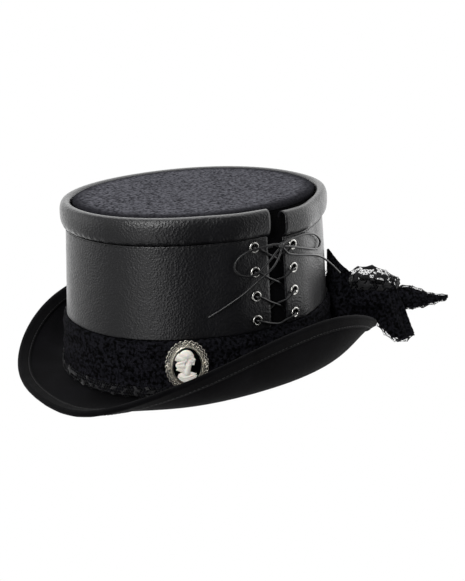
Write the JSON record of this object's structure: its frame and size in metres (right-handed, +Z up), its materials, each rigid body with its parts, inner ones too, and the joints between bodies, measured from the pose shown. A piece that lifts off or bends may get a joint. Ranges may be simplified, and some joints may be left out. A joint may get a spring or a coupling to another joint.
{
  "type": "top hat",
  "caption": "Short oval top hat with a curled felt brim, a laced leather wrap with a padded roll, a lace scarf band tied in a bow, and a pinned cameo brooch.",
  "frame": {"origin": "centre of the head opening, at the level of the lowest points of the brim", "axes": "+Z up through the crown, -Y to the front of the hat, +X to the wearer's left"},
  "size_m": [0.2426, 0.3351, 0.143],
  "materials": {
    "felt": "brushed wool felt, black",
    "tip_felt": "smooth wool felt, charcoal black",
    "leather": "pebbled, semi-gloss, black",
    "satin": "satin weave, black",
    "foam": "soft roll padding",
    "lace_cord": "round waxed lace, black",
    "scarf": "boucle lace, black",
    "silver": "antiqued silver plate",
    "steel": "nickel plate",
    "onyx": "polished, black",
    "ivory": "moulded resin, ivory white"
  },
  "bodies": {
    "hat": {"crown_side": "felt", "brim": "felt", "brim_binding": "felt", "crown_tip": "tip_felt", "side_lining": "satin", "tip_lining": "satin", "sweatband": "leather", "leather_wrap": "leather", "top_roll": "leather", "roll_filler": "foam", "eyelet_front_1": "steel", "eyelet_rear_1": "steel", "eyelet_front_2": "steel", "eyelet_rear_2": "steel", "eyelet_front_3": "steel", "eyelet_rear_3": "steel", "eyelet_front_4": "steel", "eyelet_rear_4": "steel", "lacing": "lace_cord", "lace_knot": "lace_cord", "bow_loop_front": "lace_cord", "bow_loop_rear": "lace_cord", "lace_tail_front": "lace_cord", "lace_tail_rear": "lace_cord", "hat_band": "scarf", "band_lace_edge": "scarf", "scarf_knot": "scarf", "scarf_loop_outer": "scarf", "scarf_tail_leaf": "scarf", "scarf_tail_hanging": "scarf", "scarf_loop_rear": "scarf", "scarf_corner_upright": "scarf"},
    "brooch": {"brooch_back_plate": "silver", "brooch_frame": "silver", "cameo_ground": "onyx", "cameo_bust": "ivory", "pin_hinge_bracket": "steel", "pin_hinge_rivet": "steel", "pin_catch_base": "steel"},
    "pin": {"pin_stem": "steel"},
    "catch": {"pin_catch_sleeve": "steel"}
  },
  "joints": [
    {"name": "brooch_pull_off", "type": "slide", "parent": "hat", "child": "brooch", "axis": [0.4404, -0.2367, 0.866], "range_m": [0, 0.045]},
    {"name": "pin_swing", "type": "hinge", "parent": "brooch", "child": "pin", "pos_m": [0.07624, -0.07418, 0.03652], "axis": [-0.0516, 0.0277, 0.9983], "range_deg": [0, 45]},
    {"name": "catch_turn", "type": "hinge", "parent": "brooch", "child": "catch", "pos_m": [0.08618, -0.05568, 0.03652], "axis": [0.4734, 0.8809, 0], "range_deg": [0, 100]}
  ],
  "couplings": [
    {"joint": "pin_swing", "follows": "brooch_pull_off", "rad_per_m": 17.45}
  ]
}
